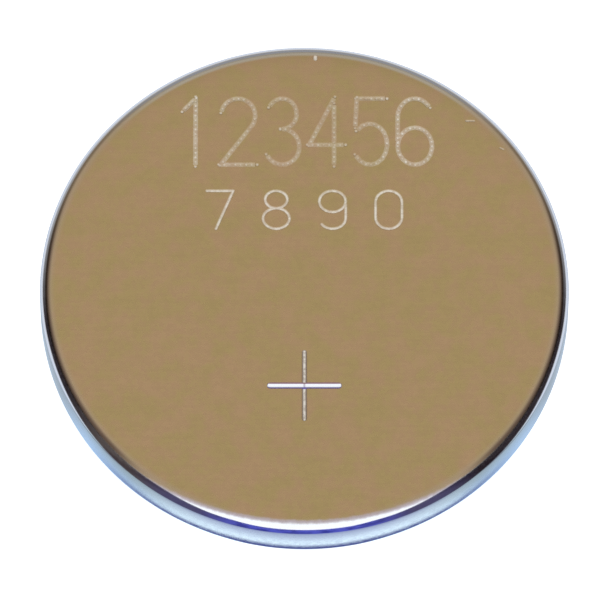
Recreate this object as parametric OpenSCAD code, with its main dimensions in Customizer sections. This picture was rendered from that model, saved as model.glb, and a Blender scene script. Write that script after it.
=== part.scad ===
// Coin cell with a steel can, a stepped steel cap and a moulded seal crimped between them.
// It lies on its negative face, with the positive face up. Lengths are in millimetres.
// Every piece is turned about the Z axis from a half section, where x is the radius and y the height.
// Bends are sized as a press tool is, by the radius inside the bend.

/* [Cell] */
// Diameter over the can
cell_d = 23; // [18:0.5:30]
// Height from the negative face to the positive face
cell_h = 3; // [2.5:0.1:5.4]

/* [Can] */
// Thickness of the can's steel
can_t = 0.25; // [0.2:0.01:0.3]
// Inside radius where the positive face turns into the wall
can_edge_r = 0.15; // [0.1:0.01:0.2]
// Inside radius of the crimp
crimp_r = 0.65; // [0.5:0.01:0.8]
// Flat run of the crimped lip past its bend
lip_run = 0.2; // [0.1:0.01:0.3]
// Rounding of the lip's cut edge
lip_round = 0.06; // [0.03:0.01:0.09]

/* [Cap] */
// Thickness of the cap's steel
cap_t = 0.25; // [0.2:0.01:0.3]
// How far the negative face stands out past the crimped lip
cap_proud = 0.25; // [0.15:0.01:0.35]
// Inside radius round the negative face
cap_edge_r = 0.1; // [0.06:0.01:0.15]
// Inside radius at the foot of the cap's step
cap_step_r = 0.12; // [0.08:0.01:0.15]
// Inside radius where the cap's shoulder turns into its skirt
cap_shoulder_r = 0.2; // [0.1:0.01:0.3]
// Open groove between the lip and the cap's step
groove_w = 0.4; // [0.36:0.01:0.5]

/* [Seal] */
// Thickness of the seal between the can's wall and the cap's skirt
seal_wall = 0.4; // [0.3:0.01:0.5]
// Thickness of the seal pinched between the lip and the cap's shoulder
seal_pinch = 0.22; // [0.15:0.01:0.3]
// Thickness of the seal between the skirt's end and the can's floor
seal_foot = 0.25; // [0.21:0.01:0.35]
// Thickness of the seal's leg inside the skirt
seal_leg_t = 0.35; // [0.25:0.01:0.45]
// Height of the seal's leg above its foot
seal_leg_h = 0.7; // [0.4:0.01:0.9]
// How far the seal shows in the groove past the lip
seal_show = 0.18; // [0.12:0.01:0.22]
// How far the squeezed bead of the seal rises beside the lip
seal_bead = 0.12; // [0.08:0.01:0.18]

/* [Electrodes] */
// Thickness of the lithium disc
lithium_t = 0.6; // [0.4:0.01:0.8]
// Ring left bare round the lithium disc, inside the cap
lithium_margin = 1.2; // [0.8:0.05:1.6]
// Rounding of the lithium disc's edge
lithium_round = 0.1; // [0.05:0.01:0.15]
// Thickness of the separator fleece
separator_t = 0.3; // [0.2:0.01:0.35]
// Inside radius where the separator folds over the pellet
separator_fold_r = 0.15; // [0.1:0.01:0.25]
// Depth of the separator's folded rim
separator_rim = 0.6; // [0.4:0.01:0.8]
// Free space between the separator's rim and the seal's leg
separator_gap = 0.3; // [0.2:0.01:0.5]
// Free space between the collector ring and the separator's rim
collector_gap = 0.12; // [0.08:0.01:0.2]
// Thickness of the collector ring's steel
collector_t = 0.12; // [0.1:0.01:0.15]
// Height of the collector ring
collector_h = 0.8; // [0.5:0.01:1]
// Width of the collector ring's flange under the pellet
collector_flange = 1; // [0.6:0.05:1.4]
// Inside radius of the collector ring's bend
collector_bend_r = 0.1; // [0.06:0.01:0.15]
// Rounding of the pellet's edge under the separator
pellet_round = 0.12; // [0.08:0.01:0.2]

/* [Hidden] */
turn_fn = 180;
bend_fn = 64;

// Radii of the can, from the outside in
can_r = cell_d / 2;
can_in_r = can_r - can_t;
crimp_centre_r = can_in_r - crimp_r;
lip_r = crimp_centre_r - lip_run;

// Radii of the cap and the seal
step_r = lip_r - groove_w;
skirt_r = can_in_r - seal_wall;
skirt_in_r = skirt_r - cap_t;
shoulder_bend = cap_shoulder_r + cap_t;
leg_in_r = skirt_in_r - seal_leg_t;

// Radii of the electrodes
separator_r = leg_in_r - separator_gap;
collector_r = separator_r - separator_t - collector_gap;
pellet_r = collector_r - collector_t;
lithium_r = step_r - cap_t - lithium_margin;

// Heights, from the negative face up
lip_top = cap_proud + can_t;
crimp_z = lip_top + crimp_r;
shoulder_z = lip_top + seal_pinch;
skirt_z = shoulder_z + shoulder_bend;
lithium_top = cap_t + lithium_t;
separator_top = lithium_top + separator_t;
floor_z = cell_h - can_t;
skirt_end = floor_z - seal_foot;
can_bend = can_edge_r + can_t;

// A rectangle of the half section, between two radii and two heights
module strip(r0, r1, z0, z1) {
    translate([r0, z0]) square([r1 - r0, z1 - z0]);
}

// The quadrant of the half section that lies on the given sides of a centre
module quadrant(reach, side_r, side_z) {
    translate([side_r < 0 ? -reach : 0, side_z < 0 ? -reach : 0]) square(reach);
}

// A quarter disc, for a rounded solid edge
module round_edge(centre, r, side_r, side_z) {
    translate(centre)
    intersection() {
        circle(r, $fn = bend_fn);
        quadrant(2 * r, side_r, side_z);
    }
}

// A quarter turn of sheet of thickness t about a centre
module bend(centre, inside_r, t, side_r, side_z) {
    translate(centre)
    intersection() {
        difference() {
            circle(inside_r + t, $fn = bend_fn);
            circle(inside_r, $fn = bend_fn);
        }
        quadrant(2 * (inside_r + t), side_r, side_z);
    }
}

// The cup of the can: positive face, edge bend, wall, crimp and lip with a rounded cut edge
module can_section() {
    strip(0, can_r - can_bend, floor_z, cell_h);
    bend([can_r - can_bend, cell_h - can_bend], can_edge_r, can_t, 1, 1);
    strip(can_in_r, can_r, crimp_z, cell_h - can_bend);
    bend([crimp_centre_r, crimp_z], crimp_r, can_t, 1, -1);
    strip(lip_r + lip_round, crimp_centre_r, cap_proud, lip_top);
    strip(lip_r, lip_r + lip_round, cap_proud + lip_round, lip_top);
    round_edge([lip_r + lip_round, cap_proud + lip_round], lip_round, -1, -1);
}

// The pan of the cap: negative face, step, shoulder under the lip and skirt down to the seal's foot
module cap_section() {
    strip(0, step_r - cap_edge_r - cap_t, 0, cap_t);
    bend([step_r - cap_edge_r - cap_t, cap_edge_r + cap_t], cap_edge_r, cap_t, 1, -1);
    strip(step_r - cap_t, step_r, cap_edge_r + cap_t, shoulder_z - cap_step_r);
    bend([step_r + cap_step_r, shoulder_z - cap_step_r], cap_step_r, cap_t, -1, 1);
    strip(step_r + cap_step_r, skirt_r - shoulder_bend, shoulder_z, shoulder_z + cap_t);
    bend([skirt_r - shoulder_bend, skirt_z], cap_shoulder_r, cap_t, 1, -1);
    strip(skirt_in_r, skirt_r, skirt_z, skirt_end);
}

// The space that the cap's shoulder and skirt take out of the seal
module shoulder_space() {
    strip(0, skirt_r - shoulder_bend, shoulder_z, skirt_z);
    strip(0, skirt_r, skirt_z, skirt_end);
    round_edge([skirt_r - shoulder_bend, skirt_z], shoulder_bend, 1, -1);
}

// What fills the can from the lip to the floor, out to the can's inner face
module seal_filling() {
    strip(lip_r - seal_show, crimp_centre_r, lip_top, crimp_z);
    round_edge([crimp_centre_r, crimp_z], crimp_r, 1, -1);
    strip(lip_r - seal_show, can_in_r, crimp_z, floor_z - can_edge_r);
    strip(lip_r - seal_show, can_in_r - can_edge_r, floor_z - can_edge_r, floor_z);
    round_edge([can_in_r - can_edge_r, floor_z - can_edge_r], can_edge_r, 1, 1);
}

// The seal: wall and pinched collar round the cap, bead in the groove, foot and inner leg round the skirt's end
module seal_section() {
    leg_round = seal_leg_t / 2;
    leg_top = skirt_end - seal_leg_h;
    difference() {
        seal_filling();
        shoulder_space();
        strip(0, skirt_in_r, skirt_z, floor_z);
    }
    strip(leg_in_r, skirt_in_r, skirt_end, floor_z);
    strip(leg_in_r, skirt_in_r, leg_top + leg_round, skirt_end);
    round_edge([leg_in_r + leg_round, leg_top + leg_round], leg_round, -1, -1);
    round_edge([leg_in_r + leg_round, leg_top + leg_round], leg_round, 1, -1);
    strip(lip_r - seal_show + seal_bead, lip_r, lip_top - seal_bead, lip_top);
    round_edge([lip_r - seal_show + seal_bead, lip_top], seal_bead, -1, -1);
}

// The collector ring: flange on the can's floor, bend and wall round the pellet
module collector_section() {
    corner = collector_bend_r + collector_t;
    strip(collector_r - collector_flange, collector_r - corner, floor_z - collector_t, floor_z);
    bend([collector_r - corner, floor_z - corner], collector_bend_r, collector_t, 1, 1);
    strip(pellet_r, collector_r, floor_z - collector_h, floor_z - corner);
}

// The pellet, pressed into the collector ring and down to the can's floor
module pellet_section() {
    seat_z = floor_z - collector_t;
    strip(0, collector_r - collector_flange, separator_top, floor_z);
    strip(collector_r - collector_flange, pellet_r - collector_bend_r, separator_top, seat_z);
    round_edge([pellet_r - collector_bend_r, seat_z - collector_bend_r], collector_bend_r, 1, 1);
    strip(pellet_r - collector_bend_r, pellet_r - pellet_round, separator_top, seat_z - collector_bend_r);
    strip(pellet_r - pellet_round, pellet_r, separator_top + pellet_round, seat_z - collector_bend_r);
    round_edge([pellet_r - pellet_round, separator_top + pellet_round], pellet_round, 1, -1);
}

// The separator: fleece over the pellet, with its rim folded up round it
module separator_section() {
    fold = separator_fold_r + separator_t;
    strip(0, separator_r - fold, lithium_top, separator_top);
    bend([separator_r - fold, lithium_top + fold], separator_fold_r, separator_t, 1, -1);
    strip(separator_r - separator_t, separator_r, lithium_top + fold, separator_top + separator_rim);
}

// The lithium disc, pressed onto the inside of the cap
module lithium_section() {
    strip(0, lithium_r - lithium_round, cap_t, lithium_top);
    strip(lithium_r - lithium_round, lithium_r, cap_t, lithium_top - lithium_round);
    round_edge([lithium_r - lithium_round, lithium_top - lithium_round], lithium_round, 1, 1);
}

module turned() {
    rotate_extrude($fn = turn_fn) children();
}

module positive_can() {
    color([0.76, 0.68, 0.55]) turned() can_section();
}

module negative_cap() {
    color([0.78, 0.79, 0.8]) turned() cap_section();
}

module seal_ring() {
    color([0.16, 0.16, 0.17]) turned() seal_section();
}

module collector_ring() {
    color([0.62, 0.64, 0.66]) turned() collector_section();
}

module cathode_pellet() {
    color([0.1, 0.1, 0.11]) turned() pellet_section();
}

module separator() {
    color([0.93, 0.93, 0.9]) turned() separator_section();
}

module lithium_disc() {
    color([0.7, 0.72, 0.76]) turned() lithium_section();
}

positive_can();
negative_cap();
seal_ring();
collector_ring();
cathode_pellet();
separator();
lithium_disc();
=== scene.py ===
"""The looks of a lithium coin cell: its struck steel can, cap and seal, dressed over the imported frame."""

import math
from types import SimpleNamespace

import bmesh
import bpy
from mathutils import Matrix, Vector


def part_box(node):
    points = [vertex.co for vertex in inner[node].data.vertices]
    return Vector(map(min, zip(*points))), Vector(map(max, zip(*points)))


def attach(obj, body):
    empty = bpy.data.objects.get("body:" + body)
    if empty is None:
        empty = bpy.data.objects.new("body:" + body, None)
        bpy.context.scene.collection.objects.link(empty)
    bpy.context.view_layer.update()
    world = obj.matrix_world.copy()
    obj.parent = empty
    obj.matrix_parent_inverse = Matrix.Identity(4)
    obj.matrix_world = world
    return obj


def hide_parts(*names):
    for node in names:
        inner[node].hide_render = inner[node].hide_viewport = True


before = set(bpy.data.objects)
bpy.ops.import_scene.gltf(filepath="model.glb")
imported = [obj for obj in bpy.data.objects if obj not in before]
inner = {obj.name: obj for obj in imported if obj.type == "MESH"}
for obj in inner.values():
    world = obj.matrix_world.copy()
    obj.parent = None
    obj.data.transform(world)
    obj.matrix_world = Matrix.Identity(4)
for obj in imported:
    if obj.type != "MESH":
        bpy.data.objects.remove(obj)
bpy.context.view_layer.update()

MM = 0.001

# Sizes taken from the frame
can_low, can_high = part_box("positive_can")
_, cap_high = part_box("negative_cap")
_, seal_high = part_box("seal_ring")
CAN_R = min(can_high.x, can_high.y)
CELL_H = can_high.z
LIP_Z = can_low.z
SKIRT_R = cap_high.x
SKIRT_END = cap_high.z
SEAL_R = seal_high.x
SEAL_TOP = seal_high.z

# Sheet and bends, as in the solids
SHEET = 0.25 * MM
EDGE_R = 0.4 * MM
CRIMP_R = 0.65 * MM
LIP_RUN = 0.2 * MM
LIP_ROUND = 0.06 * MM
GROOVE_W = 0.4 * MM
CAP_EDGE_R = 0.35 * MM
CAP_STEP_R = 0.12 * MM
SHOULDER_R = 0.45 * MM
SEAL_PINCH = 0.22 * MM
SEAL_SHOW = 0.18 * MM
SEAL_BEAD = 0.12 * MM
SEAL_LEG = 0.35 * MM
SEAL_LEG_H = 0.7 * MM

# Radii and heights that follow from them
can_in_r = CAN_R - SHEET
crimp_r = can_in_r - CRIMP_R
crimp_z = LIP_Z + SHEET + CRIMP_R
lip_r = crimp_r - LIP_RUN
lip_top = LIP_Z + SHEET
step_r = lip_r - GROOVE_W
shoulder_z = lip_top + SEAL_PINCH
floor_z = CELL_H - SHEET
skirt_in_r = SKIRT_R - SHEET

# How finely the shells are turned
TURNS = 360
BEND_STEPS = 12
STEP_STEPS = 8
FINE_STEPS = 6
ON_AXIS = 1e-9

# How they are shaded: how close to its ends a long run is held flat, from how many degrees an edge is sharp,
# and how upright and how far out the flat of the positive face is
HOLD = 0.02 * MM
LONG_RUN = 5 * HOLD
SHARP_FROM = 28
LEVEL = 0.99999
FLAT_R = 11 * MM

# Struck marks on the positive face: places and sizes
PLUS_Y = -4.66 * MM
PLUS_ARM_X = 1.48 * MM
PLUS_ARM_Y = 1.56 * MM
FIGURE_ROW_Y = 7.35 * MM
FIGURE_H = 3.15 * MM
FIGURE_W = 1.5 * MM
FIGURE_PITCH = 1.93 * MM
SMALL_ROW_Y = 3.63 * MM
SMALL_H = 1.8 * MM
SMALL_W = 1.15 * MM
SMALL_PITCH = 2.45 * MM

# Their cutters, and how finely these are made. A weight scales a cutter's radius
PLUS_R = 0.18 * MM
PLUS_DEPTH = 0.075 * MM
PLUS_SIDES = 28
LINE_R = 0.11 * MM
LINE_DEPTH = 0.032 * MM
LINE_SIDES = 32
CHANNEL_R = 0.45 * MM
CHANNEL_DEPTH = 0.018 * MM
CHANNEL_SIDES = 96
CHANNEL_END_R = 0.2 * CHANNEL_R
BEAD_R = 0.12 * MM
BEAD_DEPTH = 0.034 * MM
BEAD_PITCH = 0.22 * MM
BEAD_SIDES = 16
BEAD_SCALES = (0.955, 1.02)
BEAD_SEED = 4
FULL_WEIGHT = 1
UPRIGHT_WEIGHT = 0.86
BOW_STEPS = 14
LOOP_STEPS = 24
END_SHARES = (0.4, 0.7, 0.9, 0.99)
CLOSED_WITHIN = 0.001 * MM

# Nicks in the face: middle (x, y) in mm, length in mm, turn in degrees, weight of the stroke
NICKS = [
    (7.24, 7.86, 0.34, 0, 0.88),
    (8.62, 6.54, 0.18, -25, 0.82),
    (-6.8, 7.3, 0.16, 12, 0.75),
    (-8.45, 6.4, 0.12, -20, 0.75),
    (8.45, -7.15, 0.1, 40, 0.82),
    (-1.8, -10.6, 0.1, 5, 0.75),
    (0.48, 10.87, 0.07, 85, 1.2),
]


def bow(x, y, rx, ry, start, end, steps=BOW_STEPS):
    """Points on part of an oval about (x, y), with anticlockwise angles in degrees."""
    points = []
    for i in range(steps + 1):
        a = math.radians(start + (end - start) * i / steps)
        points.append((x + rx * math.cos(a), y + ry * math.sin(a)))
    return points


def arc(centre, radius, start, end, steps=BEND_STEPS):
    """Points on an arc, with angles in degrees."""
    return bow(*centre, radius, radius, start, end, steps)


def link_object(name, data):
    piece = bpy.data.objects.new(name, data)
    bpy.context.scene.collection.objects.link(piece)
    return piece


def held(outline):
    """The closed outline with a point close to each end of its long runs, to keep them flat in shading."""
    points = []
    for i, here in enumerate(outline):
        there = outline[(i + 1) % len(outline)]
        run = math.dist(here, there)
        points.append(here)
        if run > LONG_RUN:
            for share in (HOLD / run, 1 - HOLD / run):
                x = here[0] + (there[0] - here[0]) * share
                y = here[1] + (there[1] - here[1]) * share
                points.append((x, y))
    return points


def turned(name, outline):
    """A closed shell, turned about Z from the closed outline of its half section."""
    shell = bmesh.new()
    rings = []
    for r, z in held(outline):
        if r < ON_AXIS:
            rings.append([shell.verts.new((0, 0, z))])
            continue
        ring = []
        for i in range(TURNS):
            a = 2 * math.pi * i / TURNS
            ring.append(shell.verts.new((r * math.cos(a), r * math.sin(a), z)))
        rings.append(ring)
    for a, b in zip(rings, rings[1:] + rings[:1]):
        if len(a) == 1 and len(b) == 1:
            continue
        for i in range(TURNS):
            j = (i + 1) % TURNS
            corners = [a[i % len(a)], a[j % len(a)], b[j % len(b)], b[i % len(b)]]
            shell.faces.new(list(dict.fromkeys(corners)))
    bmesh.ops.recalc_face_normals(shell, faces=shell.faces)
    mesh = bpy.data.meshes.new(name)
    shell.to_mesh(mesh)
    shell.free()
    return link_object(name, mesh)


def can_outline():
    lip_edge = (lip_r + LIP_ROUND, LIP_Z + LIP_ROUND)
    crimp = (crimp_r, crimp_z)
    edge = (CAN_R - EDGE_R, CELL_H - EDGE_R)
    return (
        [(0, CELL_H)]
        + arc(edge, EDGE_R, 90, 0)
        + arc(crimp, CRIMP_R + SHEET, 0, -90)
        + arc(lip_edge, LIP_ROUND, -90, -180, FINE_STEPS)
        + [(lip_r, lip_top)]
        + arc(crimp, CRIMP_R, -90, 0)
        + arc(edge, EDGE_R - SHEET, 0, 90, FINE_STEPS)
        + [(0, floor_z)]
    )


def cap_outline():
    foot = (step_r - CAP_EDGE_R, CAP_EDGE_R)
    step = (step_r + CAP_STEP_R, shoulder_z - CAP_STEP_R)
    shoulder = (SKIRT_R - SHOULDER_R, shoulder_z + SHOULDER_R)
    return (
        [(0, 0)]
        + arc(foot, CAP_EDGE_R, -90, 0)
        + arc(step, CAP_STEP_R, 180, 90, STEP_STEPS)
        + arc(shoulder, SHOULDER_R, -90, 0)
        + [(SKIRT_R, SKIRT_END), (skirt_in_r, SKIRT_END)]
        + arc(shoulder, SHOULDER_R - SHEET, 0, -90, FINE_STEPS)
        + arc(step, CAP_STEP_R + SHEET, 90, 180, STEP_STEPS)
        + arc(foot, CAP_EDGE_R - SHEET, 0, -90, FINE_STEPS)
        + [(0, SHEET)]
    )


def seal_outline():
    bead = (lip_r - SEAL_SHOW + SEAL_BEAD, lip_top)
    crimp = (crimp_r, crimp_z)
    edge_r = EDGE_R - SHEET
    edge = (SEAL_R - edge_r, SEAL_TOP - edge_r)
    leg_end = (skirt_in_r - SEAL_LEG / 2, SKIRT_END - SEAL_LEG_H + SEAL_LEG / 2)
    shoulder = (SKIRT_R - SHOULDER_R, shoulder_z + SHOULDER_R)
    return (
        [(lip_r - SEAL_SHOW, shoulder_z)]
        + arc(bead, SEAL_BEAD, 180, 270, FINE_STEPS)
        + [(lip_r, lip_top - SEAL_BEAD), (lip_r, lip_top)]
        + arc(crimp, CRIMP_R, -90, 0)
        + arc(edge, edge_r, 0, 90, FINE_STEPS)
        + [(skirt_in_r - SEAL_LEG, SEAL_TOP)]
        + arc(leg_end, SEAL_LEG / 2, 180, 360)
        + [(skirt_in_r, SKIRT_END), (SKIRT_R, SKIRT_END)]
        + arc(shoulder, SHOULDER_R, 0, -90)
    )


def figure_strokes(figure):
    """The strokes of one plain figure, in shares of its width and height. None turns a sharp corner."""
    strokes = {
        "0": [bow(0.5, 0.7, 0.5, 0.3, 0, 180) + bow(0.5, 0.3, 0.5, 0.3, 180, 360) + [(1, 0.7)]],
        "1": [[(0.2, 0.82), (0.53, 0.99)], [(0.55, 1), (0.55, 0)]],
        "2": [bow(0.5, 0.74, 0.5, 0.26, 165, -30) + [(0.01, 0.01)], [(0, 0), (1, 0)]],
        "3": [bow(0.5, 0.77, 0.42, 0.23, 150, -90), bow(0.5, 0.27, 0.5, 0.27, 90, -150)],
        "4": [[(0.72, 1), (0.01, 0.31)], [(0, 0.3), (1, 0.3)], [(0.72, 0.9), (0.72, 0)]],
        "5": [
            [(0.92, 1), (0.12, 1)],
            [(0.1, 0.99), (0.05, 0.58)],
            bow(0.48, 0.31, 0.5, 0.31, 136, -145),
        ],
        "6": [
            bow(0.5, 0.72, 0.5, 0.28, 35, 180) + [(0, 0.36)],
            bow(0.5, 0.28, 0.5, 0.28, 180, 540, LOOP_STEPS),
        ],
        "7": [[(0, 1), (1, 1)], [(0.99, 0.985), (0.35, 0)]],
        "8": [
            bow(0.5, 0.77, 0.42, 0.23, 270, -90, LOOP_STEPS - 2),
            bow(0.5, 0.27, 0.5, 0.27, 90, 450, LOOP_STEPS),
        ],
        "9": [
            bow(0.5, 0.72, 0.5, 0.28, 0, 360, LOOP_STEPS),
            [(1, 0.64)] + bow(0.5, 0.28, 0.5, 0.28, 0, -145),
        ],
    }
    return strokes[figure]


def figure_row(figures, middle_y, width, height, pitch):
    """Strokes of a row of figures, centred on the face."""
    strokes = []
    for i, figure in enumerate(figures):
        left = (i - (len(figures) - 1) / 2) * pitch - width / 2
        low = middle_y - height / 2
        for stroke in figure_strokes(figure):
            strokes.append(([(left + width * x, low + height * y) for x, y in stroke], FULL_WEIGHT))
    return strokes


def plus_strokes():
    across = [(-PLUS_ARM_X, PLUS_Y), (PLUS_ARM_X, PLUS_Y)]
    along = [(0, PLUS_Y - PLUS_ARM_Y), (0, PLUS_Y + PLUS_ARM_Y)]
    return [(across, FULL_WEIGHT), (along, UPRIGHT_WEIGHT)]


def nick_strokes():
    strokes = []
    for x, y, length, turn, weight in NICKS:
        dx = length / 2 * math.cos(math.radians(turn))
        dy = length / 2 * math.sin(math.radians(turn))
        strokes.append(([((x - dx) * MM, (y - dy) * MM), ((x + dx) * MM, (y + dy) * MM)], weight))
    return strokes


def rounded_end(end, before, radius, weight):
    """Points past the end of a stroke, from the end outwards, that round its cutter off."""
    run = math.dist(before, end)
    ahead = ((end[0] - before[0]) / run, (end[1] - before[1]) / run)
    points = []
    for share in END_SHARES:
        out = radius * weight * share
        narrowed = weight * math.sqrt(1 - share * share)
        points.append((end[0] + ahead[0] * out, end[1] + ahead[1] * out, narrowed))
    return points


def stroke_curves(name, strokes, radius):
    """The strokes as one curve object on the positive face, with ends rounded over the given radius."""
    curve = bpy.data.curves.new(name, "CURVE")
    curve.dimensions = "3D"
    for points, weight in strokes:
        spline = curve.splines.new("POLY")
        body = [(x, y, weight) for x, y in points]
        if math.dist(points[0], points[-1]) < CLOSED_WITHIN:
            body = body[:-1]
            spline.use_cyclic_u = True
        else:
            first = rounded_end(points[0], points[1], radius, weight)
            body = first[::-1] + body + rounded_end(points[-1], points[-2], radius, weight)
        spline.points.add(len(body) - 1)
        for point, (x, y, share) in zip(spline.points, body):
            point.co = (x, y, CELL_H, 1)
            point.radius = share
    return link_object(name, curve)


def feed(tree, socket, value):
    """Links the socket to another one, or sets it to a number, a vector or a colour."""
    if isinstance(value, bpy.types.NodeSocket):
        tree.links.new(value, socket)
    elif socket.type == "RGBA":
        socket.default_value = (*value, 1)
    else:
        socket.default_value = value


def add_node(tree, kind, inputs=None, **settings):
    """A new node with these settings, and with these inputs linked or set."""
    node = tree.nodes.new(kind)
    for name, value in settings.items():
        setattr(node, name, value)
    for name, value in (inputs or {}).items():
        feed(tree, node.inputs[name], value)
    return node


def add_input(tree, name, kind, value=None):
    socket = tree.interface.new_socket(name, in_out="INPUT", socket_type=kind)
    if value is not None:
        socket.default_value = value
    return socket.identifier


def math_node(tree, operation, a, b=None, clamp=False):
    node = add_node(tree, "ShaderNodeMath", operation=operation, use_clamp=clamp)
    feed(tree, node.inputs[0], a)
    if b is not None:
        feed(tree, node.inputs[1], b)
    return node.outputs[0]


def times(tree, first, *others):
    for other in others:
        first = math_node(tree, "MULTIPLY", first, other)
    return first


def plus(tree, a, b):
    return math_node(tree, "ADD", a, b)


def minus(tree, a, b):
    return math_node(tree, "SUBTRACT", a, b)


def over(tree, a, b):
    return math_node(tree, "DIVIDE", a, b)


def absolute(tree, value):
    return math_node(tree, "ABSOLUTE", value)


# What the striking nodes can be given, apart from the strokes and the finish
STRIKE_SIZES = (
    ("Plus radius", PLUS_R),
    ("Plus depth", PLUS_DEPTH),
    ("Line radius", LINE_R),
    ("Line depth", LINE_DEPTH),
    ("Channel radius", CHANNEL_R),
    ("Channel depth", CHANNEL_DEPTH),
    ("Bead radius", BEAD_R),
    ("Bead depth", BEAD_DEPTH),
    ("Bead pitch", BEAD_PITCH),
)


def lifted(tree, given, cutters, sort):
    """Cutters raised so far over the face that they cut to their sort's depth."""
    height = minus(tree, given[sort + " radius"], given[sort + " depth"])
    lift = add_node(tree, "ShaderNodeCombineXYZ", {"Z": height})
    moved = {"Geometry": cutters, "Translation": lift.outputs[0]}
    return add_node(tree, "GeometryNodeTransform", moved).outputs[0]


def swept_cutters(tree, given, strokes, sort, sides):
    """Round cutters along the strokes, one to a stroke."""
    shape = add_node(tree, "GeometryNodeObjectInfo", {"Object": given[strokes]})
    index = add_node(tree, "GeometryNodeInputIndex")
    parted = {"Geometry": shape.outputs["Geometry"], "Group ID": index.outputs[0]}
    split = add_node(tree, "GeometryNodeSplitToInstances", parted, domain="CURVE")
    round_section = {"Resolution": sides, "Radius": given[sort + " radius"]}
    section = add_node(tree, "GeometryNodeCurvePrimitiveCircle", round_section)
    sweep = add_node(tree, "GeometryNodeCurveToMesh", {
        "Curve": split.outputs["Instances"],
        "Profile Curve": section.outputs["Curve"],
        "Scale": add_node(tree, "GeometryNodeInputRadius").outputs[0],
        "Fill Caps": True,
    })
    return lifted(tree, given, sweep.outputs["Mesh"], sort)


def bead_cutters(tree, given):
    """Round cutters of slightly uneven size, spaced along the beaded strokes."""
    shape = add_node(tree, "GeometryNodeObjectInfo", {"Object": given["Beaded strokes"]})
    places = {"Curve": shape.outputs["Geometry"], "Length": given["Bead pitch"]}
    spaced = add_node(tree, "GeometryNodeCurveToPoints", places, mode="LENGTH")
    ball = {"Segments": BEAD_SIDES, "Rings": BEAD_SIDES, "Radius": given["Bead radius"]}
    bead = add_node(tree, "GeometryNodeMeshUVSphere", ball)
    scales = {2: BEAD_SCALES[0], 3: BEAD_SCALES[1], "Seed": BEAD_SEED}
    uneven = add_node(tree, "FunctionNodeRandomValue", scales, data_type="FLOAT")
    beads = add_node(tree, "GeometryNodeInstanceOnPoints", {
        "Points": spaced.outputs["Points"],
        "Instance": bead.outputs["Mesh"],
        "Scale": uneven.outputs[1],
    })
    return lifted(tree, given, beads.outputs["Instances"], "Bead")


def striking_tree():
    """Geometry nodes that strike grooves along two sets of strokes, and beaded channels along a third."""
    tree = bpy.data.node_groups.new("struck_marks", "GeometryNodeTree")
    tree.interface.new_socket("Geometry", in_out="INPUT", socket_type="NodeSocketGeometry")
    ids = {}
    for name in ("Plus strokes", "Line strokes", "Beaded strokes"):
        ids[name] = add_input(tree, name, "NodeSocketObject")
    for name, size in STRIKE_SIZES:
        add_input(tree, name, "NodeSocketFloat", size)
    ids["Finish"] = add_input(tree, "Finish", "NodeSocketMaterial")
    tree.interface.new_socket("Geometry", in_out="OUTPUT", socket_type="NodeSocketGeometry")
    given = add_node(tree, "NodeGroupInput").outputs
    cutters = (
        swept_cutters(tree, given, "Plus strokes", "Plus", PLUS_SIDES),
        swept_cutters(tree, given, "Line strokes", "Line", LINE_SIDES),
        swept_cutters(tree, given, "Beaded strokes", "Channel", CHANNEL_SIDES),
        bead_cutters(tree, given),
    )
    blank = {"Mesh 1": given["Geometry"]}
    cut = add_node(tree, "GeometryNodeMeshBoolean", blank, operation="DIFFERENCE", solver="MANIFOLD")
    for cutter in cutters:
        tree.links.new(cutter, cut.inputs["Mesh 2"])
    whole = add_node(tree, "GeometryNodeRealizeInstances", {0: cut.outputs["Mesh"]})
    finished = {"Geometry": whole.outputs[0], "Material": given["Finish"]}
    finish = add_node(tree, "GeometryNodeSetMaterial", finished)
    add_node(tree, "NodeGroupOutput", {0: finish.outputs[0]})
    return tree, ids


def smoothed(piece):
    """The piece, shaded smooth except where its surface turns sharply."""
    piece.data.shade_smooth()
    piece.data.set_sharp_from_angle(angle=math.radians(SHARP_FROM))
    return piece


def crisp_face(piece):
    """The piece, with every edge sharp where a mark cuts the flat of the positive face."""
    shell = bmesh.new()
    shell.from_mesh(piece.data)
    for edge in shell.edges:
        if len(edge.link_faces) != 2 or edge.verts[0].co.xy.length > FLAT_R:
            continue
        level = [face.normal.z > LEVEL for face in edge.link_faces]
        if level[0] != level[1]:
            edge.smooth = False
    shell.to_mesh(piece.data)
    shell.free()
    return piece


def struck_can(finish):
    """The can, with its marks and nicks struck into the positive face."""
    blank = turned("can_blank", can_outline())
    small_row = figure_row("7890", SMALL_ROW_Y, SMALL_W, SMALL_H, SMALL_PITCH)
    large_row = figure_row("123456", FIGURE_ROW_Y, FIGURE_W, FIGURE_H, FIGURE_PITCH)
    strokes = {
        "Plus strokes": stroke_curves("plus_strokes", plus_strokes(), PLUS_R),
        "Line strokes": stroke_curves("line_strokes", small_row + nick_strokes(), LINE_R),
        "Beaded strokes": stroke_curves("beaded_strokes", large_row, CHANNEL_END_R),
    }
    tree, ids = striking_tree()
    strike = blank.modifiers.new("struck_marks", "NODES")
    strike.node_group = tree
    for name, curve in strokes.items():
        strike[ids[name]] = curve
    strike[ids["Finish"]] = finish
    depsgraph = bpy.context.evaluated_depsgraph_get()
    mesh = bpy.data.meshes.new_from_object(blank.evaluated_get(depsgraph))
    mesh.name = "can_shell"
    piece = link_object("can_shell", mesh)
    for used in (blank, *strokes.values()):
        bpy.data.objects.remove(used)
    return crisp_face(smoothed(piece))


# What a ramp gives at the two ends of its span
RISING = (0, 1)
FALLING = (1, 0)


def ramp(tree, value, span, results=RISING):
    """A smooth change from the first result to the second as the value crosses the span."""
    low, high = span
    ends = {"From Min": low, "From Max": high, "To Min": results[0], "To Max": results[1], "Value": value}
    return add_node(tree, "ShaderNodeMapRange", ends, interpolation_type="SMOOTHSTEP").outputs["Result"]


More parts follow.
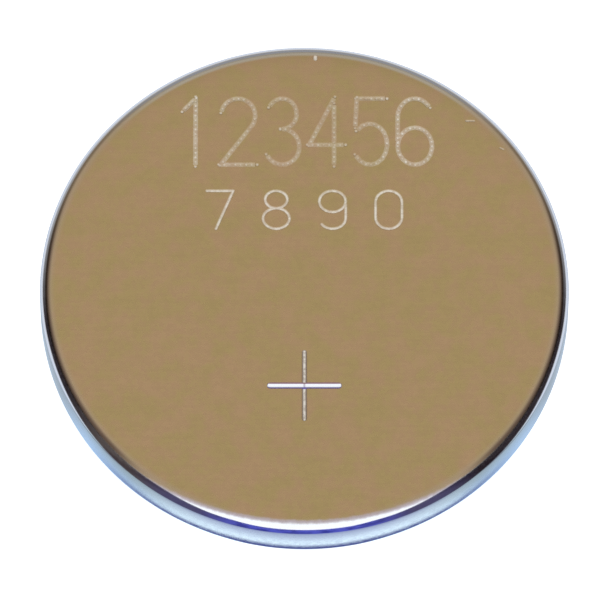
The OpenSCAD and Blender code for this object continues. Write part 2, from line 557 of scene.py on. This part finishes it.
def mix_colour(tree, share, a, b):
    return add_node(tree, "ShaderNodeMix", {0: share, 6: a, 7: b}, data_type="RGBA").outputs[2]


def mix_value(tree, share, a, b):
    return add_node(tree, "ShaderNodeMix", {0: share, 2: a, 3: b}).outputs[0]


def shaded(tree, colour, share):
    return add_node(tree, "ShaderNodeVectorMath", {0: colour, "Scale": share}, operation="SCALE").outputs[0]


def noise(tree, position, scale, detail, roughness=0.5):
    cloud = {"Vector": position, "Scale": scale, "Detail": detail, "Roughness": roughness}
    return add_node(tree, "ShaderNodeTexNoise", cloud).outputs["Fac"]


def split_axes(tree, vector):
    return add_node(tree, "ShaderNodeSeparateXYZ", {0: vector}).outputs


def distance_from_axis(tree, position):
    axes = split_axes(tree, position)
    flat = add_node(tree, "ShaderNodeCombineXYZ", {"X": axes["X"], "Y": axes["Y"]}).outputs[0]
    return add_node(tree, "ShaderNodeVectorMath", {0: flat}, operation="LENGTH").outputs["Value"]


def spot_on_cell(tree):
    """Where the shaded point is, in mm: its position, that split by axis, and its radius."""
    place = add_node(tree, "ShaderNodeTexCoord").outputs["Object"]
    in_mm = {"Vector": place, "Scale": (1 / MM, 1 / MM, 1 / MM)}
    position = add_node(tree, "ShaderNodeMapping", in_mm).outputs["Vector"]
    x, y, z = split_axes(tree, position)
    return SimpleNamespace(position=position, x=x, y=y, z=z, radius=distance_from_axis(tree, position))


def new_material(name):
    material = bpy.data.materials.new(name)
    material.use_nodes = True
    tree = material.node_tree
    return material, tree, tree.nodes["Principled BSDF"]


def set_surface(tree, shader):
    tree.links.new(shader, tree.nodes["Material Output"].inputs["Surface"])


def add_bump(tree, shader, height, strength, depth):
    """Fine relief on the shader, to a depth in mm."""
    relief = {"Height": height, "Strength": strength, "Distance": depth * MM}
    feed(tree, shader.inputs["Normal"], add_node(tree, "ShaderNodeBump", relief).outputs[0])


# Rolled sheet: how far its lines are drawn out along X, and the detail and roughness of its noises
DRAWN_OUT = (0.05, 1, 1)
LINES_DETAIL = 3
LINES_ROUGH = 0.6
CLOUD_DETAIL = 4
CLOUD_ROUGH = 0.62
FINE_DETAIL = 2
FINE_PER_CLOUD = 4

# Line spacings and mottle sizes of the sheets, in mm
FACE_LINES = 0.09
FACE_MOTTLE = 0.9
STEEL_LINES = 0.07
STEEL_MOTTLE = 1.5
LITHIUM_LINES = 0.2

# Parts of a noise's range, from the one that most of it lies in to the one round its middle
MOST_OF_NOISE = (0.3, 0.7)
MIDDLE_OF_NOISE = (0.35, 0.65)
CORE_OF_NOISE = (0.38, 0.62)


def rolled_sheet_group():
    """Fine lines and soft mottling of rolled, plated sheet, from a position in mm."""
    group = bpy.data.node_groups.new("rolled_sheet", "ShaderNodeTree")
    add_input(group, "Position", "NodeSocketVector")
    add_input(group, "Line spacing", "NodeSocketFloat", STEEL_LINES)
    add_input(group, "Mottle size", "NodeSocketFloat", STEEL_MOTTLE)
    for name in ("Lines", "Cloud", "Fine cloud"):
        group.interface.new_socket(name, in_out="OUTPUT", socket_type="NodeSocketFloat")
    given = add_node(group, "NodeGroupInput").outputs
    position = given["Position"]
    drawn = add_node(group, "ShaderNodeVectorMath", {0: position, 1: DRAWN_OUT}, operation="MULTIPLY")
    line_scale = over(group, 1, given["Line spacing"])
    cloud_scale = over(group, 1, given["Mottle size"])
    fine_scale = over(group, FINE_PER_CLOUD, given["Mottle size"])
    add_node(group, "NodeGroupOutput", {
        "Lines": noise(group, drawn.outputs[0], line_scale, LINES_DETAIL, LINES_ROUGH),
        "Cloud": noise(group, position, cloud_scale, CLOUD_DETAIL, CLOUD_ROUGH),
        "Fine cloud": noise(group, position, fine_scale, FINE_DETAIL),
    })
    return group


def place_sheet(tree, group, position, spacing, size):
    """The lines and clouds of rolled sheet in a material."""
    given = {"Position": position, "Line spacing": spacing, "Mottle size": size}
    lines, cloud, fine = add_node(tree, "ShaderNodeGroup", given, node_tree=group).outputs
    return SimpleNamespace(lines=lines, cloud=cloud, fine=fine)


# Colours of the can, and how far mottling, lines and grain change them
# The tan tones are a painted reflection of a warm surround, given to the plating as its colour
TAN_REFLECTION = (0.362, 0.252, 0.126)
TAN_REFLECTION_PINK = (0.388, 0.246, 0.141)
TAN_REFLECTION_GREEN = (0.343, 0.258, 0.107)
MOTTLED = 0.6
BRIGHT = (0.86, 0.88, 0.92)
# A painted mauve fringe along the edge of the tan
PAINTED_FRINGE = (0.42, 0.36, 0.46)
# Painted reflection tints round the rim: greyer, bluish at the back, dark brown along the sides
RIM_REFLECTION = (0.37, 0.29, 0.21)
RIM_BACK_REFLECTION = (0.42, 0.37, 0.29)
BLUISH_REFLECTION = (0.4, 0.415, 0.46)
DARK_SIDE_REFLECTION = (0.105, 0.068, 0.052)
# Scuffed bare metal of the struck marks, lightened as a painted highlight
SCUFFED_AND_HIGHLIT = (0.85, 0.81, 0.73)
# The plus sign's groove: its bare core lightened as a painted highlight, its sides darkened as painted shade
SCRATCHED_AND_HIGHLIT = (0.72, 0.68, 0.61)
PLUS_SHADE_UPPER = (0.25, 0.14, 0.17)
PLUS_SHADE_UNDER = (0.15, 0.12, 0.36)
PLUS_SHADE_FAINT = (0.27, 0.21, 0.165)
LINED = (0.985, 1.015)
GRAINED = (0.975, 1.025)

# Where the painted tan reflection gives way to bare metal at the edge, in mm. That edge runs round a point
# behind the cell's middle, and the last number says how strongly the painted mauve fringe along it shows
TAN_EDGE_BACK = 1.6
TAN_EDGE_RADII = (12.45, 12.73)
TAN_EDGE_UNEVEN = 0.1
FACE_EDGE_RADII = (11.22, 11.3)
TOP_DEPTHS = (0.3, 0.38)
FRINGE_STRENGTH = 2.6

# The rim of the face, where painted reflection tints lie: radii in mm, and directions as Y over the radius,
# so -1 is front and 1 is back
RIM_RADII = (10.8, 11.15)
RIM_SHARES = (0, 0.6)
RIM_BACK_RADII = (10.92, 11.06)
BACK = (0.6, 0.9)
BLUISH_REFLECTION_RADII = (11.12, 11.2)
DARK_SIDE_RADII = (11.0, 11.19)
DARK_SIDE_SHARES = (0, 0.92)
DARK_SIDE_FROM = (-0.83, -0.66)
DARK_SIDE_TO = (0.1, 0.5)

# Struck figures and nicks, scuffed bare metal lightened as a painted highlight: depths below the face in mm,
# how bare each depth is, and how much less metallic
STRUCK_RADII = (10.95, 11.05)
SCUFFED_DEPTHS = (0.001, 0.012)
SCUFFED_SHARES = (0, 0.28)
BARED_DEPTHS = (0.018, 0.034)
BARED_SHARES = (0, 0.42)
BARER_DEPTHS = (0.036, 0.06)
BARER_SHARES = (0, 0.4)
PATCHY_SHARES = (0.65, 1.1)
STRUCK_DULL = 0.8

# The middle of the large row is fainter: distances to either side of the middle, and values of Y, in mm
FAINT_ASIDE = (2.2, 4.6)
FAINT_SHARES = (0.4, 0)
FAINT_FROM = (5, 5.6)
FAINT_TO = (9.2, 9.8)

# The plus sign, with its painted highlight and shade: depths below the face, and distances from its middle or
# from an arm's middle line, in mm
BY_PLUS = (1.9, 2.1)
IN_PLUS_DEPTHS = (0.0005, 0.003)
ARM_HALF = (0.145, 0.155)
CORE_ABOVE = 0.02
CORE_ACROSS = (0.05, 0.095)
CORE_ALONG = (0.02, 0.075)
CROSSING = (0.015, 0.07)
CROSSING_SHARES = (0.45, 1)
ALONG_SHARES = (0.4, 0.95)
BOTTOM_DEPTHS = (0.012, 0.03)
SIDES_MEET = (-0.03, 0.03)

# Roughness and relief of the can
SATIN = (0.24, 0.3)
POLISHED = (0.12, 0.18)
CAN_RELIEF = 0.25
CAN_RELIEF_DEPTH = 0.002


def inside_tan_edge(tree, spot, sheet):
    """How much of the painted tan reflection is left towards the edge, whose border runs further in at the
    front.
    """
    back = {"Vector": spot.position, "Location": (0, -TAN_EDGE_BACK, 0)}
    shifted = add_node(tree, "ShaderNodeMapping", back).outputs["Vector"]
    uneven = times(tree, sheet.fine, TAN_EDGE_UNEVEN)
    tan_edge_r = minus(tree, distance_from_axis(tree, shifted), uneven)
    return ramp(tree, tan_edge_r, TAN_EDGE_RADII, FALLING)


def struck_share(tree, spot, sheet, deep, on_top, aside):
    """How bare a struck figure or nick is, by its depth, in patches; the bare colour is lightened as a
    painted highlight.
    """
    scuffed = ramp(tree, deep, SCUFFED_DEPTHS, SCUFFED_SHARES)
    bared = ramp(tree, deep, BARED_DEPTHS, BARED_SHARES)
    bared = plus(tree, bared, ramp(tree, deep, BARER_DEPTHS, BARER_SHARES))
    flat = times(tree, ramp(tree, spot.radius, STRUCK_RADII, FALLING), on_top)
    faint = times(
        tree,
        ramp(tree, aside, FAINT_ASIDE, FAINT_SHARES),
        ramp(tree, spot.y, FAINT_FROM),
        ramp(tree, spot.y, FAINT_TO, FALLING),
    )
    patchy = ramp(tree, sheet.fine, MIDDLE_OF_NOISE, PATCHY_SHARES)
    patchy = times(tree, patchy, minus(tree, 1, faint))
    struck = times(tree, flat, plus(tree, scuffed, bared))
    return math_node(tree, "MULTIPLY", struck, patchy, clamp=True)


def plus_share(tree, spot, deep):
    """1 in the groove of the plus sign, and 0 elsewhere."""
    middle = (0, PLUS_Y / MM, CELL_H / MM)
    apart = add_node(tree, "ShaderNodeVectorMath", {0: spot.position, 1: middle}, operation="DISTANCE")
    by_plus = ramp(tree, apart.outputs["Value"], BY_PLUS, FALLING)
    return times(tree, by_plus, ramp(tree, deep, IN_PLUS_DEPTHS))


def plus_colour(tree, spot, sheet, deep, aside):
    """The groove of the plus sign: a bare core along its bottom, lightened as a painted highlight, between
    sides darkened as painted shade.
    """
    above = minus(tree, spot.y, PLUS_Y / MM)
    across = ramp(tree, absolute(tree, above), ARM_HALF, FALLING)
    core_across = ramp(tree, absolute(tree, minus(tree, above, CORE_ABOVE)), CORE_ACROSS, FALLING)
    core_across = times(tree, core_across, ramp(tree, aside, CROSSING, CROSSING_SHARES))
    core_along = minus(tree, 1, ramp(tree, aside, CORE_ALONG))
    core_along = times(tree, core_along, ramp(tree, sheet.fine, CORE_OF_NOISE, ALONG_SHARES))
    core = mix_value(tree, across, core_along, core_across)
    bottom = times(tree, core, ramp(tree, deep, BOTTOM_DEPTHS))
    # The sides are painted shade: indigo below, mauve above, dark tan on the upright arm
    side = mix_colour(tree, ramp(tree, above, SIDES_MEET), PLUS_SHADE_UNDER, PLUS_SHADE_UPPER)
    side = mix_colour(tree, across, PLUS_SHADE_FAINT, side)
    # The bare core's bright colour is a painted highlight
    bare = mix_colour(tree, across, SCRATCHED_AND_HIGHLIT, BRIGHT)
    return mix_colour(tree, bottom, side, bare)


def painted_tan_colour(tree, sheet):
    """The tan of the plating, a painted reflection of a warm surround, mottled pink and green, with rolling
    lines and grain.
    """
    mottle = mix_colour(tree, ramp(tree, sheet.cloud, MIDDLE_OF_NOISE), TAN_REFLECTION_PINK, TAN_REFLECTION_GREEN)
    tint = mix_colour(tree, MOTTLED, TAN_REFLECTION, mottle)
    lined = ramp(tree, sheet.lines, MOST_OF_NOISE, LINED)
    return shaded(tree, tint, times(tree, lined, ramp(tree, sheet.fine, MOST_OF_NOISE, GRAINED)))


def tinted_rim(tree, spot, painted_tan_share, colour):
    """The colour, with painted reflection tints round the rim of the face: greyer round most of it, greyer
    and then bluish at the back, and dark brown along the two sides.
    """
    around = over(tree, spot.y, spot.radius)
    at_back = ramp(tree, around, BACK)
    in_front = minus(tree, 1, at_back)
    at_sides = times(tree, ramp(tree, around, DARK_SIDE_FROM), ramp(tree, around, DARK_SIDE_TO, FALLING))
    tints = (
        (in_front, RIM_RADII, RIM_SHARES, RIM_REFLECTION),
        (at_back, RIM_BACK_RADII, RISING, RIM_BACK_REFLECTION),
        (at_back, BLUISH_REFLECTION_RADII, RISING, BLUISH_REFLECTION),
        (at_sides, DARK_SIDE_RADII, DARK_SIDE_SHARES, DARK_SIDE_REFLECTION),
    )
    for direction, radii, shares, tint in tints:
        share = times(tree, direction, ramp(tree, spot.radius, radii, shares), painted_tan_share)
        colour = mix_colour(tree, share, colour, tint)
    return colour


def can_finish(sheet_group):
    """Satin plating on the positive face, its tan tone a painted reflection, ending short of the edge bend
    where the bare metal is bright, and scuffed in the struck marks, which are lightened as a painted
    highlight.
    """
    material, tree, shader = new_material("can_finish")
    spot = spot_on_cell(tree)
    sheet = place_sheet(tree, sheet_group, spot.position, FACE_LINES, FACE_MOTTLE)
    deep = minus(tree, CELL_H / MM, spot.z)
    aside = absolute(tree, spot.x)
    on_top = ramp(tree, deep, TOP_DEPTHS, FALLING)
    inside = times(tree, inside_tan_edge(tree, spot, sheet), on_top)
    painted_tan_share = times(tree, inside, ramp(tree, spot.radius, FACE_EDGE_RADII, FALLING))
    # A painted mauve fringe along the edge of the tan, strongest halfway across that edge
    fringe = times(tree, inside, minus(tree, 1, inside))
    fringe = math_node(tree, "MULTIPLY", fringe, FRINGE_STRENGTH, clamp=True)
    struck = struck_share(tree, spot, sheet, deep, on_top, aside)
    in_plus = plus_share(tree, spot, deep)

    # The painted tan reflection, over bright bare metal past its edge
    colour = mix_colour(tree, painted_tan_share, BRIGHT, painted_tan_colour(tree, sheet))
    colour = mix_colour(tree, fringe, colour, PAINTED_FRINGE)
    # Painted reflection tints round the rim
    colour = tinted_rim(tree, spot, painted_tan_share, colour)
    # Scuffed struck marks, lightened as a painted highlight
    colour = mix_colour(tree, struck, colour, SCUFFED_AND_HIGHLIT)
    # A painted highlight along the bottom of the plus sign's groove, and painted shade on its sides
    colour = mix_colour(tree, in_plus, colour, plus_colour(tree, spot, sheet, deep, aside))
    feed(tree, shader.inputs["Base Color"], colour)
    metal = minus(tree, 1, times(tree, struck, STRUCK_DULL))
    feed(tree, shader.inputs["Metallic"], math_node(tree, "MAXIMUM", metal, in_plus))
    satin = ramp(tree, sheet.fine, MOST_OF_NOISE, SATIN)
    polished = ramp(tree, sheet.fine, MOST_OF_NOISE, POLISHED)
    feed(tree, shader.inputs["Roughness"], mix_value(tree, painted_tan_share, polished, satin))
    add_bump(tree, shader, sheet.lines, CAN_RELIEF, CAN_RELIEF_DEPTH)
    return material


# Plain plated steel, which the cap and the collector ring share, and bare lithium
STEEL = (0.74, 0.75, 0.76)
STEEL_SHADES = (0.92, 1.0)
STEEL_RELIEF = 0.3
STEEL_RELIEF_DEPTH = 0.003
CAP_ROUGH = (0.16, 0.24)
COLLECTOR_ROUGH = (0.25, 0.35)
LITHIUM = (0.6, 0.62, 0.66)
LITHIUM_ROUGH = (0.35, 0.5)

# Matt pieces: dark and light colours, grain in mm, roughness, and depth of the relief in mm
SEAL_LOOK = ((0.03, 0.03, 0.032), (0.05, 0.05, 0.054), 0.2, 0.45, 0.004)
PELLET_LOOK = ((0.02, 0.02, 0.022), (0.06, 0.06, 0.062), 0.12, 0.8, 0.02)
SEPARATOR_LOOK = ((0.8, 0.8, 0.76), (0.9, 0.9, 0.87), 0.08, 0.9, 0.02)
MATT_DETAIL = 4
MATT_RELIEF = 0.5


def metal_finish(name, colour, roughness, sheet_group, spacing=STEEL_LINES):
    """Plain sheet metal, with fine rolling lines."""
    material, tree, shader = new_material(name)
    sheet = place_sheet(tree, sheet_group, spot_on_cell(tree).position, spacing, STEEL_MOTTLE)
    lined = ramp(tree, sheet.lines, MOST_OF_NOISE, STEEL_SHADES)
    feed(tree, shader.inputs["Base Color"], shaded(tree, colour, lined))
    feed(tree, shader.inputs["Roughness"], ramp(tree, sheet.fine, MOST_OF_NOISE, roughness))
    shader.inputs["Metallic"].default_value = 1
    add_bump(tree, shader, sheet.lines, STEEL_RELIEF, STEEL_RELIEF_DEPTH)
    return material


def matt_finish(name, look):
    """A matt, slightly grainy solid, such as moulded plastic, pressed powder or fleece."""
    dark, light, grain, roughness, depth = look
    material, tree, shader = new_material(name)
    speck = noise(tree, spot_on_cell(tree).position, 1 / grain, MATT_DETAIL)
    feed(tree, shader.inputs["Base Color"], mix_colour(tree, ramp(tree, speck, MIDDLE_OF_NOISE), dark, light))
    shader.inputs["Roughness"].default_value = roughness
    add_bump(tree, shader, speck, MATT_RELIEF, depth)
    return material


def put_on(piece, material):
    piece.data.materials.clear()
    piece.data.materials.append(material)


# Camera, from the photograph's view of the cell
VIEW_ELEVATION = 67.0
VIEW_DISTANCE = 600 * MM
VIEW_LEFT = 0.19 * MM
PICTURE_PIXELS = 600
PIXELS_PER_MM = 22.96
SENSOR_MM = 36
CLIP_NEAR = 10 * MM
CLIP_FAR = 10

# The white surround, and its light from the front, where Y is below these values
WHITE = (1, 1, 1)
AHEAD = (-0.1, 0.2)
LIGHT_AHEAD = (1.14, 1.16, 1.2)


def add_camera():
    data = bpy.data.cameras.new("camera")
    data.sensor_width = SENSOR_MM
    data.lens = data.sensor_width * VIEW_DISTANCE / (PICTURE_PIXELS / PIXELS_PER_MM * MM)
    data.clip_start = CLIP_NEAR
    data.clip_end = CLIP_FAR
    camera = link_object("camera", data)
    el = math.radians(VIEW_ELEVATION)
    target = Vector((-VIEW_LEFT, 0, CELL_H / 2))
    camera.location = target + Vector((0, -math.cos(el), math.sin(el))) * VIEW_DISTANCE
    camera.rotation_euler = (math.pi / 2 - el, 0, 0)
    bpy.context.scene.camera = camera


def mirrored_only(tree):
    """1 where a mirroring surface sees the shaded point, and 0 otherwise."""
    return add_node(tree, "ShaderNodeLightPath").outputs["Is Glossy Ray"]


def add_world():
    """A white surround for the camera and the metal, a little brighter in front of the cell."""
    world = bpy.data.worlds.new("studio")
    world.use_nodes = True
    bpy.context.scene.world = world
    tree = world.node_tree
    tree.nodes.clear()
    place = add_node(tree, "ShaderNodeTexCoord").outputs["Generated"]
    ahead = ramp(tree, split_axes(tree, place)["Y"], AHEAD, FALLING)
    lit = mix_colour(tree, ahead, WHITE, LIGHT_AHEAD)
    seen = mix_colour(tree, mirrored_only(tree), WHITE, lit)
    sky = add_node(tree, "ShaderNodeBackground", {"Color": seen})
    add_node(tree, "ShaderNodeOutputWorld", {"Surface": sky.outputs[0]})


# The screen's size
SCREEN_R = 12.3 * MM
SCREEN_ENDS = (1.8 * MM, 6.3 * MM)
SCREEN_SIDES = 96

# Its colours, and the directions they lie in: X over the radius for the left, else Y over the radius
SCREEN_DARK = (0.022, 0.015, 0.019)
SCREEN_BROWN = (0.085, 0.068, 0.064)
SCREEN_VIOLET = (0.07, 0.062, 0.14)
SCREEN_BLUE_DEEP = (0.04, 0.045, 0.31)
SCREEN_BLUE = (0.085, 0.1, 0.55)
BROWN_LEFT_FROM = (-0.93, -0.76)
BROWN_LEFT_TO = (-0.3, 0.2)
BROWN_UP_TO = (0, 0.3)
VIOLET_UP_TO = (-0.87, -0.72)
BLUE_UP_TO = (-0.985, -0.9)
SHADES_SCALE = 1.5
SHADES_DETAIL = 2

# Its upper edge and how soft that is, in mm by direction, each a sum of steps, and its lower edge
SCREEN_TOP = (((-0.95, -0.78), (3.35, 4.6)), ((-0.7, -0.3), (0, 0.6)), ((-0.988, -0.955), (0, 0.3)))
SCREEN_SOFT = (((-0.95, -0.78), (0.08, 0.7)), ((-0.7, -0.3), (0, 0.35)))
SCREEN_FOOT = ((-0.8, -0.2), (1.9, 2.75))
SCREEN_FOOT_SOFT = (0, 0.3)
EDGE_BAND = (-1, 1)

# How it thins out towards the back, by direction
SCREEN_THINS = ((-0.15, 0.45), (1, 0.64))
SCREEN_THINS_MORE = ((0.35, 0.95), (1, 0.6))


def sum_of_ramps(tree, value, steps):
    total = ramp(tree, value, *steps[0])
    for step in steps[1:]:
        total = plus(tree, total, ramp(tree, value, *step))
    return total


def screen_colour(tree, spot, behind):
    """Near black, brownish at the front left, and blue in shades at the very front."""
    left = over(tree, spot.x, spot.radius)
    brown = times(
        tree,
        ramp(tree, left, BROWN_LEFT_FROM),
        ramp(tree, left, BROWN_LEFT_TO, FALLING),
        ramp(tree, behind, BROWN_UP_TO, FALLING),
    )
    shades = noise(tree, spot.position, SHADES_SCALE, SHADES_DETAIL)
    blue = mix_colour(tree, ramp(tree, shades, CORE_OF_NOISE), SCREEN_BLUE_DEEP, SCREEN_BLUE)
    colour = mix_colour(tree, brown, SCREEN_DARK, SCREEN_BROWN)
    colour = mix_colour(tree, ramp(tree, behind, VIOLET_UP_TO, FALLING), colour, SCREEN_VIOLET)
    return mix_colour(tree, ramp(tree, behind, BLUE_UP_TO, FALLING), colour, blue)


def screen_share(tree, spot, behind):
    """How much the screen covers: it fades out at its upper and lower edges, and towards the back."""
    past_top = minus(tree, spot.z, sum_of_ramps(tree, behind, SCREEN_TOP))
    past_top = over(tree, past_top, sum_of_ramps(tree, behind, SCREEN_SOFT))
    above_foot = minus(tree, spot.z, ramp(tree, behind, *SCREEN_FOOT))
    return times(
        tree,
        ramp(tree, past_top, EDGE_BAND, FALLING),
        ramp(tree, above_foot, SCREEN_FOOT_SOFT),
        ramp(tree, behind, *SCREEN_THINS),
        ramp(tree, behind, *SCREEN_THINS_MORE),
    )


def screen_finish():
    """Dark card, which only shows where it covers."""
    material, tree, _ = new_material("screen_finish")
    spot = spot_on_cell(tree)
    behind = over(tree, spot.y, spot.radius)
    glow = add_node(tree, "ShaderNodeEmission", {"Color": screen_colour(tree, spot, behind)})
    clear = add_node(tree, "ShaderNodeBsdfTransparent")
    layers = {0: screen_share(tree, spot, behind), 1: clear.outputs[0], 2: glow.outputs[0]}
    set_surface(tree, add_node(tree, "ShaderNodeMixShader", layers).outputs[0])
    return material


def add_screen():
    """A low dark screen round the cell, which only the metal mirrors."""
    corners = []
    for z in SCREEN_ENDS:
        for i in range(SCREEN_SIDES):
            a = 2 * math.pi * i / SCREEN_SIDES
            corners.append((SCREEN_R * math.cos(a), SCREEN_R * math.sin(a), z))
    faces = []
    for i in range(SCREEN_SIDES):
        j = (i + 1) % SCREEN_SIDES
        faces.append((i, j, SCREEN_SIDES + j, SCREEN_SIDES + i))
    data = bpy.data.meshes.new("screen")
    data.from_pydata(corners, [], faces)
    screen = link_object("screen", data)
    screen.visible_camera = False
    screen.visible_diffuse = False
    screen.visible_shadow = False
    screen.visible_transmission = False
    put_on(screen, screen_finish())


# The floor as the camera sees it
FLOOR_HALF = 2.0
PAPER = (0.9, 0.9, 0.9)
PAPER_ROUGH = 0.9
PAPER_GLOW = 0.5

# The floor as the metal mirrors it: each colour turns into the next over a span of radii in mm
# In front, bright close to the cell as a painted pool of light, then darker further out
FRONT_COLOURS = ((0.98, 1.2, 1.32), (0.36, 0.42, 0.62))
FRONT_RADII = (12.05, 12.6)
FRONT_SIDE_COLOURS = ((0.48, 0.68, 0.95), (0.34, 0.43, 0.48))
FRONT_SIDE_RADII = (11.8, 12.35)
# Away from the front it darkens just beside the cell into a painted contact shadow, then lightens further
# away
CLOSE_COLOURS = ((0.54, 0.66, 0.8), (0.36, 0.43, 0.5))
CLOSE_RADII = (11.5, 11.9)
AWAY_COLOUR = (0.64, 0.71, 0.82)
AWAY_RADII = (12.2, 14.2)
FAR_COLOUR = (0.72, 0.76, 0.84)
FAR_RADII = (14, 19)

# Directions, as Y over the radius, over which the front gives way to its sides and these to the rest
FRONT_TO_SIDE = (-0.98, -0.7)
SIDE_TO_REST = (-0.6, -0.3)

# The dark foot line round the front, a painted contact shadow: its inner and outer radius in mm by direction,
# and how these fade
FOOT_SHADOW = (0.07, 0.09, 0.29)
FOOT_START = ((-0.99, -0.92), (11.4, 11.66))
FOOT_START_SOFT = (-0.06, 0.06)
FOOT_END = ((-0.99, -0.8), (12.06, 11.97))
FOOT_END_SOFT = (-0.02, 0.02)
FOOT_UP_TO = (-0.88, -0.5)


def foot_shadow_share(tree, spot, behind):
    """How much of the dark foot line, a painted contact shadow, there is."""
    before_end = minus(tree, ramp(tree, behind, *FOOT_END), spot.radius)
    beyond_start = minus(tree, spot.radius, ramp(tree, behind, *FOOT_START))
    return times(
        tree,
        ramp(tree, before_end, FOOT_END_SOFT),
        ramp(tree, behind, FOOT_UP_TO, FALLING),
        ramp(tree, beyond_start, FOOT_START_SOFT),
    )


def mirrored_floor_colour(tree, spot):
    behind = over(tree, spot.y, spot.radius)
    front = mix_colour(tree, ramp(tree, spot.radius, FRONT_RADII), *FRONT_COLOURS)
    front_side = mix_colour(tree, ramp(tree, spot.radius, FRONT_SIDE_RADII), *FRONT_SIDE_COLOURS)
    near = mix_colour(tree, ramp(tree, behind, FRONT_TO_SIDE), front, front_side)
    near = mix_colour(tree, foot_shadow_share(tree, spot, behind), near, FOOT_SHADOW)
    rest = mix_colour(tree, ramp(tree, spot.radius, CLOSE_RADII), *CLOSE_COLOURS)
    rest = mix_colour(tree, ramp(tree, spot.radius, AWAY_RADII), rest, AWAY_COLOUR)
    near = mix_colour(tree, ramp(tree, behind, SIDE_TO_REST), near, rest)
    return mix_colour(tree, ramp(tree, spot.radius, FAR_RADII), near, FAR_COLOUR)


def floor_finish():
    """White paper that keeps a faint shadow, and where metal mirrors it is bluish, with a painted pool of
    light in front and a dark foot line of painted contact shadow.
    """
    material, tree, shader = new_material("floor_finish")
    paper = {
        "Base Color": PAPER,
        "Roughness": PAPER_ROUGH,
        "Specular IOR Level": 0,
        "Emission Color": WHITE,
        "Emission Strength": PAPER_GLOW,
    }
    for name, value in paper.items():
        feed(tree, shader.inputs[name], value)
    colour = mirrored_floor_colour(tree, spot_on_cell(tree))
    mirrored = add_node(tree, "ShaderNodeEmission", {"Color": colour})
    layers = {0: mirrored_only(tree), 1: shader.outputs[0], 2: mirrored.outputs[0]}
    set_surface(tree, add_node(tree, "ShaderNodeMixShader", layers).outputs[0])
    return material


def add_floor():
    side = FLOOR_HALF
    data = bpy.data.meshes.new("floor")
    corners = [(-side, -side, 0), (side, -side, 0), (side, side, 0), (-side, side, 0)]
    data.from_pydata(corners, [], [(0, 1, 2, 3)])
    floor = link_object("floor", data)
    put_on(floor, floor_finish())


add_camera()
add_world()
add_floor()
add_screen()

sheet_lines = rolled_sheet_group()

can = struck_can(can_finish(sheet_lines))
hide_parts("positive_can")
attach(can, "root")

cap = smoothed(turned("cap_shell", cap_outline()))
put_on(cap, metal_finish("cap_finish", STEEL, CAP_ROUGH, sheet_lines))
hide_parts("negative_cap")
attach(cap, "root")

seal = smoothed(turned("seal_moulding", seal_outline()))
put_on(seal, matt_finish("seal_finish", SEAL_LOOK))
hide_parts("seal_ring")
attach(seal, "root")

put_on(inner["collector_ring"], metal_finish("collector_finish", STEEL, COLLECTOR_ROUGH, sheet_lines))
put_on(inner["cathode_pellet"], matt_finish("pellet_finish", PELLET_LOOK))
put_on(inner["separator"], matt_finish("separator_finish", SEPARATOR_LOOK))
lithium_finish = metal_finish("lithium_finish", LITHIUM, LITHIUM_ROUGH, sheet_lines, LITHIUM_LINES)
put_on(inner["lithium_disc"], lithium_finish)

view = bpy.context.scene.view_settings
view.view_transform = "Standard"
